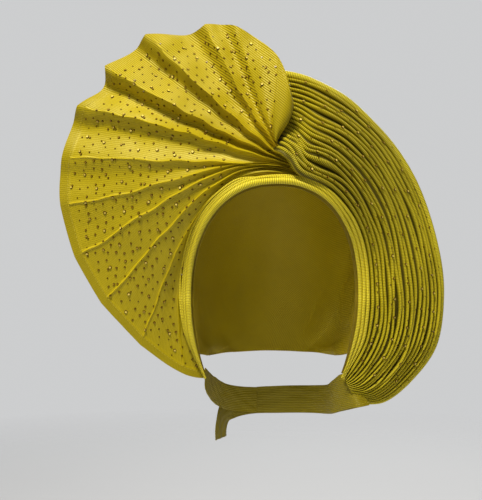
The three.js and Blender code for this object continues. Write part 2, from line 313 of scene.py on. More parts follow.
def new_object(name, vertices, faces, material=None, uvs=None, attributes=None):
    """A mesh object at the origin. uvs holds one pair for each face corner; attributes one number for each
    vertex."""
    mesh = bpy.data.meshes.new(name)
    mesh.from_pydata((np.asarray(vertices) * MM).tolist(), [], np.asarray(faces).tolist())
    if uvs is not None:
        layer = mesh.uv_layers.new(name="weave")
        layer.data.foreach_set("uv", np.asarray(uvs, np.float32).ravel())
    for label, values in (attributes or {}).items():
        store(mesh, label, values)
    mesh.polygons.foreach_set("use_smooth", np.ones(len(mesh.polygons), bool))
    if material:
        mesh.materials.append(material)
    mesh.update()
    return linked(name, mesh)


def grid_faces(rows, columns):
    i, j = np.meshgrid(np.arange(rows - 1), np.arange(columns - 1), indexing="ij")
    a = (i * columns + j).ravel()
    return np.stack([a, a + columns, a + columns + 1, a + 1], -1)


def volume_of(vertices, faces):
    a, b, c, d = (vertices[faces[:, k]] for k in range(4))
    return ((a * np.cross(b, c)).sum() + (a * np.cross(c, d)).sum()) / 6


def cloth_wall(name, front, back, material, u, v, attributes=None):
    """A closed wall between two grids. u and v are the weave at each grid corner: u may be a pair of grids,
    one as read from the left of a column and one from its right, where the weave breaks at a crease. An
    attribute may be a pair too, for the front and the back."""
    rows, columns = front.shape[:2]
    side = rows * columns
    vertices = np.concatenate([front.reshape(-1, 3), back.reshape(-1, 3)])
    top = grid_faces(rows, columns)
    under = top[:, ::-1] + side
    i, j = np.arange(rows - 1), np.arange(columns - 1)
    first, last = i * columns, i * columns + columns - 1
    start, end = j, (rows - 1) * columns + j
    rims = np.concatenate([
        np.stack([first, first + side, first + columns + side, first + columns], -1),
        np.stack([last, last + columns, last + columns + side, last + side], -1),
        np.stack([start, start + 1, start + 1 + side, start + side], -1),
        np.stack([end, end + side, end + 1 + side, end + 1], -1),
    ])
    faces = np.concatenate([top, under, rims])
    u_left, u_right = u if isinstance(u, tuple) else (u, u)
    flat = np.stack([u_left.ravel(), v.ravel()], -1)
    flat_right = np.stack([u_right.ravel(), v.ravel()], -1)
    top_uv = np.stack([flat_right[top[:, 0]], flat_right[top[:, 1]], flat[top[:, 2]], flat[top[:, 3]]], 1)
    under_uv = top_uv[:, ::-1]
    rim_uv = flat[rims % side]
    uvs = np.concatenate([top_uv, under_uv, rim_uv])
    if volume_of(vertices, faces) < 0:
        faces, uvs = faces[:, ::-1], uvs[:, ::-1]
    both = {label: values if isinstance(values, tuple) else (values, values)
        for label, values in (attributes or {}).items()}
    sided = {label: np.concatenate([np.ravel(a), np.ravel(b)]) for label, (a, b) in both.items()}
    made = new_object(name, vertices, faces, material, uvs.reshape(-1, 2), sided)
    made.data.set_sharp_from_angle(angle=math.radians(SHARP_DEG))
    return made


def lengths_along(points, axis):
    """Distance along a grid of points from its first row or column."""
    steps = np.linalg.norm(np.diff(points, axis=axis), axis=-1)
    zero = np.zeros_like(np.take(steps, [0], axis))
    return np.concatenate([zero, np.cumsum(steps, axis)], axis)


def woven_wall(name, front, back, material, pitch, axis, attributes=None):
    """A cloth wall whose cords are counted along one axis of its grids."""
    u, v = (lengths_along(front, way) / pitch for way in (axis, 1 - axis))
    return cloth_wall(name, front, back, material, u, v, attributes)


# Node trees

class Wiring:
    """A node tree under construction."""

    def __init__(self, tree):
        self.nodes, self.links = tree.nodes, tree.links

    def put(self, given, socket):
        if isinstance(given, bpy.types.NodeSocket):
            self.links.new(given, socket)
        else:
            socket.default_value = given

    def add(self, kind, settings=None, **inputs):
        """A node, with its settings and its inputs by socket name or by i0, i1 for a socket's number."""
        node = self.nodes.new(kind)
        for key, setting in (settings or {}).items():
            setattr(node, key, setting)
        for key, given in inputs.items():
            number = key[1:]
            place = int(number) if key[0] == "i" and number.isdigit() else key.replace("_", " ")
            self.put(given, node.inputs[place])
        return node

    def out(self, kind, settings=None, **inputs):
        """The first output of a new node."""
        return self.add(kind, settings, **inputs).outputs[0]

    def math(self, operation, a, b=0.0):
        return self.out("ShaderNodeMath", {"operation": operation}, i0=a, i1=b)


class Tree(Wiring):
    """A geometry node tree whose inputs are named numbers, whole numbers and a material."""

    def __init__(self, name, numbers, whole=()):
        self.group = bpy.data.node_groups.new(name, "GeometryNodeTree")
        super().__init__(self.group)
        face = self.group.interface
        face.new_socket("Geometry", in_out="INPUT", socket_type="NodeSocketGeometry")
        kinds = {**dict.fromkeys(numbers, "Float"), **dict.fromkeys(whole, "Int"), "Material": "Material"}
        for label, kind in kinds.items():
            face.new_socket(label, in_out="INPUT", socket_type="NodeSocket" + kind)
        face.new_socket("Geometry", in_out="OUTPUT", socket_type="NodeSocketGeometry")
        self.start = self.nodes.new("NodeGroupInput")
        self.end = self.nodes.new("NodeGroupOutput")

    def value(self, label):
        return self.start.outputs[label]

    def named(self, label, kind):
        return self.out("GeometryNodeInputNamedAttribute", {"data_type": kind}, Name=label)

    def kept(self, kind, label, geometry, value):
        """The geometry with a value kept on its points, and that value."""
        node = self.add("GeometryNodeCaptureAttribute", {"domain": "POINT"})
        node.capture_items.new(kind, label)
        self.put(geometry, node.inputs["Geometry"])
        self.put(value, node.inputs[label])
        return node.outputs["Geometry"], node.outputs[label]

    def chance(self, low=0.0, high=1.0):
        """A random number between two limits, drawn by the tree's seed."""
        node = self.add("FunctionNodeRandomValue", {"data_type": "FLOAT"}, Seed=self.value("Seed"))
        limits = [s for s in node.inputs if s.type == "VALUE" and s.enabled]
        self.put(low, limits[0])
        self.put(high, limits[1])
        return [s for s in node.outputs if s.enabled][0]

    def close(self, geometry):
        """Ends the tree in plain geometry that carries the material."""
        plain = self.out("GeometryNodeRealizeInstances", Geometry=geometry)
        dressed = self.out("GeometryNodeSetMaterial", Geometry=plain, Material=self.value("Material"))
        self.put(dressed, self.end.inputs[0])
        return self.group


def grown(name, source, group, values):
    """Runs a tree on a source object and keeps the result as a plain mesh; the source goes."""
    modifier = source.modifiers.new(group.name, "NODES")
    modifier.node_group = group
    for item in group.interface.items_tree:
        if item.item_type == "SOCKET" and item.in_out == "INPUT" and item.name in values:
            modifier[item.identifier] = values[item.name]
    depsgraph = bpy.context.evaluated_depsgraph_get()
    evaluated = source.evaluated_get(depsgraph)
    mesh = bpy.data.meshes.new_from_object(evaluated, preserve_all_data_layers=True, depsgraph=depsgraph)
    mesh.name = name
    source.modifiers.remove(modifier)
    old = source.data
    bpy.data.objects.remove(source)
    bpy.data.meshes.remove(old)
    return linked(name, mesh)


def swept_folds_tree():
    """Rounded folds swept along rails. A rail point's fold_radius is half the fold's width there and its
    fold_facing the way the fold stands."""
    tree = Tree("swept folds", ("Depth Ratio", "Cord Pitch", "Slant"), ("Sides",))
    rails = tree.out("GeometryNodeMeshToCurve", Mesh=tree.value("Geometry"))
    radius = tree.named("fold_radius", "FLOAT")
    stood = tree.out("GeometryNodeSetCurveNormal", {"mode": "FREE"}, Curve=rails,
        Normal=tree.named("fold_facing", "FLOAT_VECTOR"))
    sized = tree.out("GeometryNodeSetCurveRadius", Curve=stood, Radius=radius)
    where = tree.add("GeometryNodeSplineParameter")
    rail, length = tree.kept("FLOAT", "Length", sized, where.outputs["Length"])
    ring = tree.out("GeometryNodeCurvePrimitiveCircle", {"mode": "RADIUS"},
        Resolution=tree.value("Sides"), Radius=1.0)
    flat = tree.out("ShaderNodeCombineXYZ", X=tree.value("Depth Ratio"), Y=1.0, Z=1.0)
    section = tree.out("GeometryNodeTransform", Geometry=ring, Scale=flat)
    turn = tree.add("GeometryNodeSplineParameter")
    profile, share = tree.kept("FLOAT", "Round", section, turn.outputs["Factor"])
    swept = tree.out("GeometryNodeCurveToMesh", Curve=rail, Profile_Curve=profile, Fill_Caps=True, Scale=radius)
    away = tree.math("PINGPONG", share, 0.5)
    lean = tree.math("MULTIPLY", away, tree.value("Slant"))
    u = tree.math("ADD", tree.math("DIVIDE", length, tree.value("Cord Pitch")), lean)
    uv = tree.out("ShaderNodeCombineXYZ", X=u, Y=away)
    stored = tree.out("GeometryNodeStoreNamedAttribute", {"data_type": "FLOAT2", "domain": "CORNER"},
        Geometry=swept, Name="weave", Value=uv)
    smooth = tree.out("GeometryNodeSetShadeSmooth", Geometry=stored, Shade_Smooth=True)
    return tree.close(smooth)


def set_stones_tree():
    """Faceted stones in low cups, scattered on a surface and standing square to it."""
    tree = Tree("set stones", ("Spacing", "Radius", "Radius Spread"), ("Facets", "Seed"))

    def cone(top, bottom):
        return tree.add("GeometryNodeMeshCone", {"fill_type": "NGON"}, Vertices=tree.value("Facets"),
            Side_Segments=1, Radius_Top=top, Radius_Bottom=bottom, Depth=0.5)

    spread = tree.add("GeometryNodeDistributePointsOnFaces", {"distribute_method": "POISSON"},
        Mesh=tree.value("Geometry"), Distance_Min=tree.value("Spacing"),
        Density_Max=400000.0, Seed=tree.value("Seed"))
    stone = cone(0.7, 0.9)
    table = tree.out("GeometryNodeStoreNamedAttribute", {"data_type": "FLOAT", "domain": "FACE"},
        Geometry=stone.outputs["Mesh"], Name="table", Value=stone.outputs["Top"])
    raised = tree.out("GeometryNodeTransform", Geometry=table, Translation=(0, 0, 0.22))
    cup = cone(0.92, 1.08)
    both = tree.add("GeometryNodeJoinGeometry")
    tree.put(raised, both.inputs[0])
    tree.put(cup.outputs["Mesh"], both.inputs[0])
    flat = tree.out("GeometryNodeSetShadeSmooth", Geometry=both.outputs[0], Shade_Smooth=False)
    radius, uneven = tree.value("Radius"), tree.value("Radius Spread")
    small = tree.math("MULTIPLY", tree.math("SUBTRACT", 1.0, uneven), radius)
    large = tree.math("MULTIPLY", tree.math("ADD", 1.0, uneven), radius)
    turn = tree.out("ShaderNodeCombineXYZ", Z=tree.chance(0.0, 2 * math.pi))
    turned = tree.out("FunctionNodeRotateRotation", {"rotation_space": "LOCAL"},
        Rotation=spread.outputs["Rotation"], Rotate_By=turn)
    placed = tree.out("GeometryNodeInstanceOnPoints", Points=spread.outputs["Points"], Instance=flat,
        Rotation=turned, Scale=tree.chance(small, large))
    # Painted highlight: each stone draws how much of the bright colour its table takes
    told = tree.out("GeometryNodeStoreNamedAttribute", {"data_type": "FLOAT", "domain": "INSTANCE"},
        Geometry=placed, Name="painted_glint", Value=tree.chance())
    return tree.close(told)


def stitch_row_tree():
    """Short stitches along rails, each lying along its rail on the face that stitch_facing gives."""
    tree = Tree("stitch row", ("Spacing", "Length", "Thickness"))
    rails = tree.out("GeometryNodeMeshToCurve", Mesh=tree.value("Geometry"))
    rail, facing = tree.kept("VECTOR", "Facing", rails, tree.named("stitch_facing", "FLOAT_VECTOR"))
    points = tree.add("GeometryNodeCurveToPoints", {"mode": "LENGTH"}, Curve=rail, Length=tree.value("Spacing"))
    thread = tree.add("GeometryNodeMeshUVSphere", Segments=6, Rings=4, Radius=0.5)
    thick = tree.value("Thickness")
    shape = tree.out("ShaderNodeCombineXYZ", X=tree.value("Length"), Y=thick, Z=thick)
    lie = tree.out("FunctionNodeAlignRotationToVector", {"axis": "X"}, Vector=points.outputs["Tangent"])
    stand = tree.out("FunctionNodeAlignRotationToVector", {"axis": "Z", "pivot_axis": "X"},
        Rotation=lie, Vector=facing)
    placed = tree.out("GeometryNodeInstanceOnPoints", Points=points.outputs["Points"],
        Instance=thread.outputs["Mesh"], Rotation=stand, Scale=shape)
    return tree.close(placed)


def rails_object(name, paths, numbers=None, vectors=None):
    """Open polylines as loose edges. paths is (rails, points, 3); numbers and vectors hold point attributes."""
    rails, points = paths.shape[:2]
    mesh = bpy.data.meshes.new(name)
    at = np.arange(rails * points).reshape(rails, points)
    edges = np.stack([at[:, :-1].ravel(), at[:, 1:].ravel()], -1)
    mesh.from_pydata((paths.reshape(-1, 3) * MM).tolist(), edges.tolist(), [])
    for label, values in (numbers or {}).items():
        store(mesh, label, np.asarray(values, np.float32) * MM)
    for label, values in (vectors or {}).items():
        store(mesh, label, values, "FLOAT_VECTOR", "vector")
    return linked(name, mesh)


# Materials

class Finish(Wiring):
    """A material under construction."""

    def __init__(self, name):
        self.material = bpy.data.materials.new(name)
        self.material.use_nodes = True
        super().__init__(self.material.node_tree)
        self.surface = self.nodes["Principled BSDF"]
        self.place = self.add("ShaderNodeTexCoord").outputs["Object"]

    def wear(self, **inputs):
        """Sets the surface's inputs by socket name."""
        for key, given in inputs.items():
            self.put(given, self.surface.inputs[key.replace("_", " ")])

    def mark(self, label):
        return self.add("ShaderNodeAttribute", {"attribute_name": label}).outputs["Fac"]

    def noise(self, scale, detail, **more):
        return self.out("ShaderNodeTexNoise", None, Vector=self.place, Scale=scale, Detail=detail, **more)

    def scaled(self, value, low, high, to_low, to_high):
        return self.out("ShaderNodeMapRange", None, i0=value, i1=low, i2=high, i3=to_low, i4=to_high)

    def blend(self, share, a, b, kind="MIX"):
        node = self.add("ShaderNodeMix", {"data_type": "RGBA", "blend_type": kind})
        colours = [s for s in node.inputs if s.type == "RGBA"]
        self.put(share, node.inputs[0])
        self.put(a, colours[0])
        self.put(b, colours[1])
        return [s for s in node.outputs if s.type == "RGBA"][0]


def opaque(colour, share=1):
    return tuple(c * share for c in colour) + (1,)


NOISE_LOW, NOISE_HIGH = 0.3, 0.7  # what most of a noise lies between
EVEN_CORD = 0.7  # height of the cloth where its cords are evened out
CORD_HEIGHT = 0.00045
FOLD_BACK_FROM, FOLD_BACK_TO = 0.32, 0.42  # where the flank of a swept fold turns into its back


def corded_cloth(name, light, deep, groove_shade=0.8, bump=0.55, rough=(0.36, 0.6), marks=(), painted_slot_shade=None, calm=None,
        crest=0.6):
    """Satin cloth with raised cords. The weave map counts cords along its first number. The hollows between the
    cords take the deep colour, darkened further by a share given for each cloth: painted shade between the cords.
    Each mark is an attribute and the tone where it is full, and some marks are painted shade or a painted
    highlight; the slot shade darkens the flanks of a swept fold, not its crest or back, as painted shade between
    close folds; calm is an attribute that evens the cords out, or the cords between which that happens and how
    far; a larger crest makes the cords narrower."""
    finish = Finish(name)
    weave = finish.out("ShaderNodeUVMap", {"uv_map": "weave"})
    parts = finish.add("ShaderNodeSeparateXYZ", None, i0=weave).outputs
    u = finish.math("ADD", parts[0], finish.math("MULTIPLY", finish.noise(70.0, 2.0), 0.5))
    wave = finish.math("COSINE", finish.math("MULTIPLY", u, 2 * math.pi))
    full = finish.math("POWER", finish.scaled(wave, -1.0, 1.0, 0.0, 1.0), crest)
    if calm:
        named = isinstance(calm, str)
        even = finish.mark(calm) if named else finish.scaled(parts[0], calm[0], calm[1], 0.0, calm[2])
        evened = finish.math("MULTIPLY", even, finish.math("SUBTRACT", EVEN_CORD, full))
        full = finish.math("ADD", full, evened)
    thread = finish.noise(2600.0, 2.0, Roughness=0.6)
    patch = finish.noise(16.0, 3.0, Roughness=0.55)
    # Painted shade: the hollows between the cords take the deep colour, darkened further by the share given for each
    # cloth
    tone = finish.blend(full, opaque(deep, groove_shade), opaque(light))
    patchy = finish.scaled(patch, NOISE_LOW, NOISE_HIGH, 0.9, 1.06)
    grained = finish.scaled(thread, NOISE_LOW, NOISE_HIGH, 0.92, 1.06)
    # Random mottle, later multiplied by the marks and the slot shade, some of which are painted shade or a painted
    # highlight
    mottle_marks_and_painted_light = finish.math("MULTIPLY", patchy, grained)
    for label, toned in marks:
        mottle_marks_and_painted_light = finish.math("MULTIPLY", mottle_marks_and_painted_light, finish.scaled(finish.mark(label), 0.0, 1.0, 1.0, toned))
    # Painted shade: the flanks of a swept fold are darkened as if shaded by the folds beside it; its crest and back
    # are not
    if painted_slot_shade:
        ahead = finish.scaled(parts[1], painted_slot_shade[0], painted_slot_shade[1], 1.0, painted_slot_shade[2])
        behind = finish.scaled(parts[1], FOLD_BACK_FROM, FOLD_BACK_TO, painted_slot_shade[2], 1.0)
        mottle_marks_and_painted_light = finish.math("MULTIPLY", mottle_marks_and_painted_light, finish.math("MAXIMUM", ahead, behind))
    shade = finish.out("ShaderNodeCombineColor", None, i0=mottle_marks_and_painted_light, i1=mottle_marks_and_painted_light, i2=mottle_marks_and_painted_light)
    height = finish.math("ADD", full, finish.math("MULTIPLY", thread, 0.3))
    relief = finish.out("ShaderNodeBump", None, Strength=bump, Distance=CORD_HEIGHT, Height=height)
    finish.wear(Base_Color=finish.blend(1.0, tone, shade, "MULTIPLY"),
        Roughness=finish.scaled(full, 0.0, 1.0, rough[1], rough[0]), Normal=relief,
        Sheen_Weight=0.015, Sheen_Roughness=0.4, Sheen_Tint=(1.0, 0.93, 0.55, 1),
        Specular_IOR_Level=0.55, Specular_Tint=(1.0, 0.93, 0.4, 1))
    return finish.material


def stone_finish(name, dull, bright, cup):
    """Amber glass stones in dark brass cups. Each table's bright colour is a painted highlight, stronger on some
    stones than on others, and the stones' sides take the cups' dark colour as a painted dark reflection.
    """
    finish = Finish(name)
    fire = finish.noise(900.0, 1.0)
    side = finish.blend(fire, opaque(cup, 0.4), opaque(cup))
    top = finish.blend(finish.mark("painted_glint"), opaque(dull), opaque(bright))
    finish.wear(Base_Color=finish.blend(finish.mark("table"), side, top),
        Roughness=finish.scaled(fire, NOISE_LOW, NOISE_HIGH, 0.24, 0.4),
        Specular_IOR_Level=0.22, Specular_Tint=(1.0, 0.85, 0.4, 1),
        Coat_Weight=0.04, Coat_Roughness=0.1, Coat_Tint=(1.0, 0.85, 0.5, 1))
    return finish.material


def thread_finish():
    finish = Finish("sewing thread")
    ply = finish.noise(1800.0, 2.0)
    finish.wear(Base_Color=finish.blend(ply, (0.50, 0.38, 0.02, 1), (0.70, 0.56, 0.05, 1)),
        Roughness=finish.scaled(ply, NOISE_LOW, NOISE_HIGH, 0.4, 0.6))
    return finish.material


# The second colour is the yellow as it looks in shade, given to the hollows between the cords as painted shade
YELLOW, GROOVE_SHADE_YELLOW = (0.58, 0.455, 0.005), (0.48, 0.31, 0.003)
# The crease mark makes the colour one and a half times as bright along the raised fold lines: a painted highlight
FAN_CLOTH = corded_cloth("fan corded cloth", (0.55, 0.43, 0.004), (0.44, 0.278, 0.002), groove_shade=0.62, bump=0.85,
    marks=(("hem", 0.84), ("crease", 1.5)), calm="calm")
# The wing's slot shade darkens the flanks of its folds: painted shade in the slots between them
WING_CLOTH = corded_cloth("wing corded cloth", (0.84, 0.675, 0.011), GROOVE_SHADE_YELLOW, groove_shade=0.2, bump=1.0, crest=0.9,
    painted_slot_shade=(0.07, 0.2, 0.08), calm=(70, 200, 0.72))
# The rim roll's cloth is paler than the wing's, so that the rim looks the brightest part of the wing: painted light
RIM_PAINTED_LIGHT_CLOTH = corded_cloth("wing rim corded cloth", (1.0, 0.84, 0.03), GROOVE_SHADE_YELLOW, groove_shade=0.4, bump=0.9, crest=0.8,
    calm=(90, 220, 0.6))
# Where its front mark is full this cloth is darkened to a fifth: painted shade on the backing between the wing's
# folds and in the hollow of the knot
BACKING_CLOTH = corded_cloth("wing backing cloth", YELLOW, GROOVE_SHADE_YELLOW, marks=(("painted_shade", 0.2),))
# The band's cloth is paler than the rest, so that it looks brightly lit at the brow: painted light. Its slot shade
# darkens the flanks of the rolls: painted shade
BAND_PAINTED_LIGHT_CLOTH = corded_cloth("band corded cloth", (1.0, 0.84, 0.04), GROOVE_SHADE_YELLOW, groove_shade=0.8, bump=0.75,
    rough=(0.28, 0.5), painted_slot_shade=(0.14, 0.25, 0.12))
# The under layer is the same yellow cloth made dark brown: painted shade under the rolls of the band
BAND_BACKING_SHADE_CLOTH = corded_cloth("band backing cloth", (0.30, 0.205, 0.005), (0.25, 0.165, 0.003))
CROWN_CLOTH = corded_cloth("crown corded cloth", (0.54, 0.42, 0.008), GROOVE_SHADE_YELLOW)
# The ties' cloth is darker than the rest, as they lie low, away from the light: painted shade
TIE_PAINTED_SHADE_CLOTH = corded_cloth("tie corded cloth", (0.31, 0.24, 0.004), (0.26, 0.185, 0.002))
LARGE_STONES = stone_finish("large amber stones", (0.34, 0.20, 0.012), (0.95, 0.74, 0.14), (0.11, 0.052, 0.002))
SMALL_STONES = stone_finish("small brown stones", (0.11, 0.05, 0.002), (0.30, 0.17, 0.01), (0.07, 0.032, 0.002))
THREAD = thread_finish()

SWEPT_FOLDS = swept_folds_tree()
SET_STONES = set_stones_tree()
STITCH_ROW = stitch_row_tree()


def swept(name, paths, radii, facings, depth_ratio, sides, slant, material):
    rails = rails_object("rails", paths, {"fold_radius": radii}, {"fold_facing": facings})
    return grown(name, rails, SWEPT_FOLDS, {
        "Depth Ratio": depth_ratio, "Sides": sides, "Cord Pitch": FOLD_CORD_PITCH * MM, "Slant": slant,
        "Material": material})


STITCH_SPACING, STITCH_LENGTH, STITCH_THICK = 0.0032, 0.0022, 0.00045  # metres


def stitched(name, lines, facing):
    rails = rails_object("seams", lines, None, {"stitch_facing": facing})
    return grown(name, rails, STITCH_ROW,
        {"Spacing": STITCH_SPACING, "Length": STITCH_LENGTH, "Thickness": STITCH_THICK, "Material": THREAD})


def stone_bed(strips):
    """Strips of surface to set stones on, facing the viewer."""
    vertices, faces, first = [], [], 0
    for points in strips:
        quads = grid_faces(*points.shape[:2])
        flat = points.reshape(-1, 3)
        a, b, c = (flat[quads[:, k]] for k in range(3))
        if np.cross(b - a, c - a)[:, 1].sum() > 0:
            quads = quads[:, ::-1]
        vertices.append(flat)
        faces.append(quads + first)
        first += len(flat)
    return new_object("stone bed", np.concatenate(vertices), np.concatenate(faces))


def set_stones(name, strips, spacing, radius, seed, material, uneven=0.12, facets=8):
    """Spacing and radius are in metres; uneven is how far the radius strays, as a share of it."""
    return grown(name, stone_bed(strips), SET_STONES, {
        "Spacing": spacing, "Radius": radius, "Radius Spread": uneven, "Facets": facets, "Seed": seed,
        "Material": material})


# The fan: one pleated sheet with crisp fold lines, a hem round its edge and stones on its face

FAN_PER_FOLD = 20
FAN_SLANTING_PANELS = 4
FAN_BODY_ROWS = 84
FAN_BARE_ROWS = 26  # beside the gather, without stones
HEM_ROWS = np.array([0.45, 1.0, 2.2, 3.6, 5.0, 6.4, 7.6, 8.2, 8.5])


def fan_columns():
    step = np.arange(FAN_PER_FOLD) / FAN_PER_FOLD
    share = step - 0.86 * np.sin(2 * math.pi * step) / (2 * math.pi)
    return np.append((np.arange(FAN_LAST)[:, None] + share).ravel(), FAN_LAST)


def fan_surface():
    """The front of the fan as a grid, with its marks."""
    fold = fan_columns()
    fine = np.linspace(0, 1, 161)
    fold_fine, out_fine = np.meshgrid(fold, fine)
    length = lengths_along(fan_base(fold_fine, out_fine), 0)
    total = length[-1]
    body = np.linspace(0, 1, FAN_BODY_ROWS)[:, None] * (total - HEM_WIDTH)
    target = np.concatenate([body, total - HEM_WIDTH + HEM_ROWS[:, None]])
    out = np.stack([np.interp(target[:, c], length[:, c], fine) for c in range(len(fold))], 1)
    folds = np.broadcast_to(fold, out.shape)
    base = fan_base(folds, out)
    inward = unit(fan_base(folds, np.maximum(out - 0.02, 0)) - base)
    beside = fan_base(np.minimum(folds + 0.02, FAN_LAST), out) - fan_base(np.maximum(folds - 0.02, 0), out)
    spacing = np.linalg.norm(beside, axis=-1) / 0.04
    panel = np.floor(np.minimum(folds, FAN_LAST - 1e-6)).astype(int)
    share = folds - panel
    dip, depth, low_point, soft, pinch = np.moveaxis(FAN_PANELS[panel], -1, 0)
    hem = np.zeros(out.shape)
    hem[FAN_BODY_ROWS:] = 1

    from_ridge = np.where(share < low_point, share / low_point, (1 - share) / (1 - low_point))
    crisp = np.sin(math.pi / 2 * from_ridge)
    rounded = 0.5 - 0.5 * np.cos(math.pi * from_ridge)
    lowness = smoothstep(folds, 6.5, 8.5)
    roped = lowness * (1 - smoothstep(out, 0.45, 0.8))
    valley = mix(crisp, rounded, np.maximum(soft * smoothstep(out, 0.5, 1.0), 0.8 * roped))
    beside_band = smoothstep(folds, 10.0, 12.0)
    opening = mix(out ** 0.75, smoothstep(out, mix(0.3, 0.4, beside_band), mix(0.65, 1.0, beside_band)), lowness)
    deep = mix(FAN_GATHER_DEPTH * smoothstep(out, 0.0, 0.1), depth, opening)
    near_ridge = np.minimum(share, 1 - share) * spacing
    line = pinch * np.exp(-(near_ridge / 0.85) ** 2) * smoothstep(out, 0.2, 0.45) * (1 - hem)

    x, z = base[..., 0], base[..., 2]
    calm = smoothstep(out, 0.0, 0.25) * smoothstep(FAN_LAST - folds, 0.3, 1.3) * smoothstep(folds, 0.0, 1.0)
    sway = wander(11, 6, 0.05, 0.22, x, z) * calm * mix(1.1, 1.3, lowness)
    ripple = wander(23, 8, 0.04, 0.17, x, z) * calm * mix(1.7, 0.35, lowness)
    curl = FAN_ROLL_CURL * (1 - np.clip(folds / 0.6, 0, 1)) ** 2 * smoothstep(out, 0.1, 0.5)
    p = base + unit(beside) * sway[..., None]
    p += inward * (dip * np.sin(math.pi * share ** 0.9) * np.maximum(2 * out - 1, 0) ** 1.5)[..., None]
    hem = hem * mix(0.12, 1.0, smoothstep(folds, 5.2, 7.2))
    p[..., 1] += deep * valley - line + ripple + curl - hem * HEM_RISE
    even = 0.72 * smoothstep(folds, 4.2, 6.4) * smoothstep(out, 0.1, 0.3)
    # The crease mark is the painted highlight along the raised fold lines
    return p, {"hem": hem, "crease": line / FAN_PANELS[:, 4].max(), "calm": even}


def fan_weave(front):
    """Cords counted across each panel from its middle, as read from the left and the right of a column. On
    the first panels the cords run slanting on, in line with the fold after them."""
    rows, columns = front.shape[:2]
    run = lengths_along(front, 1)
    left, right = np.zeros((rows, columns)), np.zeros((rows, columns))
    slanting = (front[..., 0] * 0.64 + front[..., 2] * 0.77) / CORD_PITCH
    for panel in range(FAN_LAST):
        a, b = panel * FAN_PER_FOLD, (panel + 1) * FAN_PER_FOLD
        middle = (run[:, a] + run[:, b])[:, None] / 2
        cords = (run[:, a:b + 1] - middle) / CORD_PITCH
        if panel < FAN_SLANTING_PANELS:
            cords = slanting[:, a:b + 1]
        right[:, a:b] = cords[:, :-1]
        left[:, a + 1:b + 1] = cords[:, 1:]
    left[:, 0], right[:, -1] = right[:, 0], left[:, -1]
    return left, right


fan_front, fan_marks = fan_surface()
fan_back = fan_front + np.array([0, FAN_WALL, 0])
fan_v = lengths_along(fan_front, 0) / CORD_PITCH
fan_sheet = cloth_wall("fan_sheet", fan_front, fan_back, FAN_CLOTH, fan_weave(fan_front), fan_v, fan_marks)


def grid_facing(points):
    return to_viewer(unit(np.cross(np.gradient(points, axis=0), np.gradient(points, axis=1))))


fan_bed = fan_front[FAN_BARE_ROWS:FAN_BODY_ROWS - 1, FAN_PER_FOLD:-FAN_PER_FOLD // 2]
fan_large_stones = set_stones("fan_large_stones", [fan_bed], spacing=0.0152, radius=0.00135, seed=4,
    material=LARGE_STONES)
fan_small_stones = set_stones("fan_small_stones", [fan_bed], spacing=0.0074, radius=0.0009, seed=9,
    material=SMALL_STONES, uneven=0.36, facets=6)
hem_row = FAN_BODY_ROWS + 1
fan_hem_stitches = stitched("fan_hem_stitches", fan_front[hem_row][None], grid_facing(fan_front)[hem_row][None])


# The hollow of the knot: a sheet tucked up behind the roll from the brow

TUCK_FROM_DEG, TUCK_TO_DEG = 116, 62
TUCK_FROM_X, TUCK_TO_X, TUCK_TOP_Y, TUCK_TOP_Z, TUCK_TOP_ROUND = -6, 24, -29, 150, 12
TUCK_HOLLOW, TUCK_PLEAT, TUCK_PLEAT_RATE = 7, 0.9, 38


def tucked_sheet():
    up, across = np.meshgrid(np.linspace(0, 1, 24), np.linspace(0, 1, 40), indexing="ij")
    low = by_edge(mix(TUCK_FROM_DEG, TUCK_TO_DEG, across), 0.7, BAND_BACK + 1.6)
    top_z = TUCK_TOP_Z - TUCK_TOP_ROUND * (2 * across - 1) ** 2
    high = np.stack([mix(TUCK_FROM_X, TUCK_TO_X, across), np.full_like(up, TUCK_TOP_Y), top_z], -1)
    front = mix(low, high, up[..., None])
    pleats = TUCK_PLEAT * np.sin(across * TUCK_PLEAT_RATE) * smoothstep(up, 0.1, 0.6)
    front[..., 1] += TUCK_HOLLOW * np.sin(math.pi * up) + pleats
    back = front + np.array([0, 1.0, 0])
    # The front is darkened by its cloth: painted shade in the hollow of the knot
    return woven_wall("knot_tuck", front, back, BACKING_CLOTH, CORD_PITCH, 1,
        {"painted_shade": (np.ones_like(up), np.zeros_like(up))})


knot_tuck = tucked_sheet()


# The wing: a backing sheet with close rounded folds along it, flattening into the tie

WING_POINTS = 190
wing_run = np.linspace(WING_TAIL, 1, WING_POINTS)
WING_RIM_FOLD = 1.35  # width of the outermost fold, in widths of the others
WING_FOLD_HALF = 0.36  # half width of a fold, in shares of the spacing
WING_DEPTH_RATIO = 2.2
WING_RIM_SWELL = 1.25
WING_STONES_RUN = (0.1, 0.835)  # where along the wing its stones start and end
WING_FOLD_STEPS = WING_FOLDS - 1 + WING_RIM_FOLD
# fold, where along it swells most, half length, extra width
WING_SWELLS = ((2, 0.115, 0.06, 0.5), (3, 0.225, 0.07, 0.6))


def bump_at(value, middle, half):
    """A smooth bump, 1 in the middle and 0 beyond its half length."""
    return np.cos(math.pi / 2 * np.clip((value - middle) / half, -1, 1)) ** 2


DIVE_DEPTH, DIVE_END, DIVE_TAIL = 12, 0.075, 200
DIVE_FULL_FOLD, DIVE_LAST_FOLD = 5, 10


def knot_dive(along, fold):
    """How far the starts of the lower folds turn back, so that they come out from behind the gather."""
    back = DIVE_DEPTH * (1 - np.clip(along / DIVE_END, 0, 1)) ** 2 + DIVE_TAIL * np.maximum(-along, 0)
    return back * (1 - smoothstep(fold, DIVE_FULL_FOLD, DIVE_LAST_FOLD))


